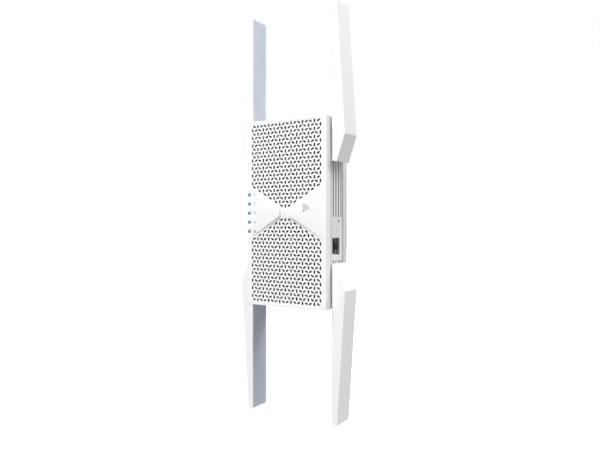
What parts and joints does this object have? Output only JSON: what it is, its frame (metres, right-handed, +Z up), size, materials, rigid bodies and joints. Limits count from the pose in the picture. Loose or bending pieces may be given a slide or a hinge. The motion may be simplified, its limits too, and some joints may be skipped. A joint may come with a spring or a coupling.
{
  "type": "wifi range extender",
  "caption": "Slim upright plug-in wifi range extender with a slotted front, side network port and turning blade antennas.",
  "frame": {"origin": "on the wall plane, at the middle of the case's back, where the plug leaves it", "axes": "+X to the right as seen from the room, +Y into the wall, +Z up"},
  "size_m": [0.1076, 0.0745, 0.356],
  "materials": {
    "front_plastic": "fine satin white",
    "frame_plastic": "fine satin white",
    "back_plastic": "fine matte white",
    "antenna_plastic": "fine satin white",
    "antenna_lid": "fine satin blue-grey",
    "button_plastic": "satin white",
    "pin_metal": "nickel plated",
    "contact_brass": "plain",
    "board": "solder mask over glass cloth",
    "can_steel": "tinned sheet",
    "chip": "moulded epoxy",
    "pad": "soft pad",
    "sink": "black anodised",
    "jack_shell": "moulded",
    "gold": "gold plated",
    "led": "clear blue",
    "light_pipe": "clear acrylic",
    "winding": "yellow tape",
    "capacitor": "shrink sleeve",
    "fuse_body": "moulded",
    "sheet": "polyester film",
    "screw": "zinc plated",
    "lead": "jacket of micro coax",
    "pivot_steel": "turned",
    "washer": "phosphor bronze",
    "clip_steel": "spring steel"
  },
  "bodies": {
    "case": {"front_cover": "front_plastic", "side_frame": "frame_plastic", "back_cover": "back_plastic", "plug_body": "back_plastic", "plug_pins": "pin_metal", "mains_contacts": "contact_brass", "main_board": "board", "shield_cans": "can_steel", "processor": "chip", "radio_chips": "chip", "thermal_pads": "pad", "heatsink": "sink", "rj45_jack": "jack_shell", "rj45_contacts": "gold", "ethernet_transformer": "chip", "coax_sockets": "gold", "status_leds": "led", "light_guide": "light_pipe", "side_switch": "can_steel", "reset_switch": "can_steel", "power_board": "board", "transformer": "winding", "bulk_capacitors": "capacitor", "rectifier": "chip", "fuse": "fuse_body", "board_header": "chip", "insulation_sheet": "sheet", "case_screws": "screw", "main_board_screws": "screw", "power_board_screws": "screw", "antenna_leads": "lead"},
    "side_button": {"side_button": "button_plastic", "side_switch_stem": "chip"},
    "reset_plunger": {"reset_plunger": "chip"},
    "antenna_upper_right": {"antenna_shell_upper_right": "antenna_plastic", "antenna_cover_upper_right": "antenna_lid", "antenna_element_upper_right": "board", "antenna_pivot_upper_right": "pivot_steel", "pivot_washer_upper_right": "washer", "pivot_clip_upper_right": "clip_steel"},
    "antenna_upper_left": {"antenna_shell_upper_left": "antenna_plastic", "antenna_cover_upper_left": "antenna_lid", "antenna_element_upper_left": "board", "antenna_pivot_upper_left": "pivot_steel", "pivot_washer_upper_left": "washer", "pivot_clip_upper_left": "clip_steel"},
    "antenna_lower_right": {"antenna_shell_lower_right": "antenna_plastic", "antenna_cover_lower_right": "antenna_lid", "antenna_element_lower_right": "board", "antenna_pivot_lower_right": "pivot_steel", "pivot_washer_lower_right": "washer", "pivot_clip_lower_right": "clip_steel"},
    "antenna_lower_left": {"antenna_shell_lower_left": "antenna_plastic", "antenna_cover_lower_left": "antenna_lid", "antenna_element_lower_left": "board", "antenna_pivot_lower_left": "pivot_steel", "pivot_washer_lower_left": "washer", "pivot_clip_lower_left": "clip_steel"}
  },
  "joints": [
    {"name": "antenna_upper_right_turn", "type": "hinge", "parent": "case", "child": "antenna_upper_right", "pos_m": [0.041, -0.01865, 0.0575], "axis": [1, 0, 0], "range_deg": [0, 90]},
    {"name": "antenna_upper_left_turn", "type": "hinge", "parent": "case", "child": "antenna_upper_left", "pos_m": [-0.041, -0.01865, 0.0575], "axis": [1, 0, 0], "range_deg": [0, 90]},
    {"name": "antenna_lower_right_turn", "type": "hinge", "parent": "case", "child": "antenna_lower_right", "pos_m": [0.041, -0.01865, -0.0575], "axis": [-1, 0, 0], "range_deg": [0, 90]},
    {"name": "antenna_lower_left_turn", "type": "hinge", "parent": "case", "child": "antenna_lower_left", "pos_m": [-0.041, -0.01865, -0.0575], "axis": [-1, 0, 0], "range_deg": [0, 90]},
    {"name": "side_button_press", "type": "slide", "parent": "case", "child": "side_button", "axis": [-1, 0, 0], "range_m": [0, 0.0006], "stiffness_N_per_m": 1500, "springref_m": -0.0003},
    {"name": "reset_press", "type": "slide", "parent": "case", "child": "reset_plunger", "axis": [-1, 0, 0], "range_m": [0, 0.0004], "stiffness_N_per_m": 1500, "springref_m": -0.0003}
  ]
}
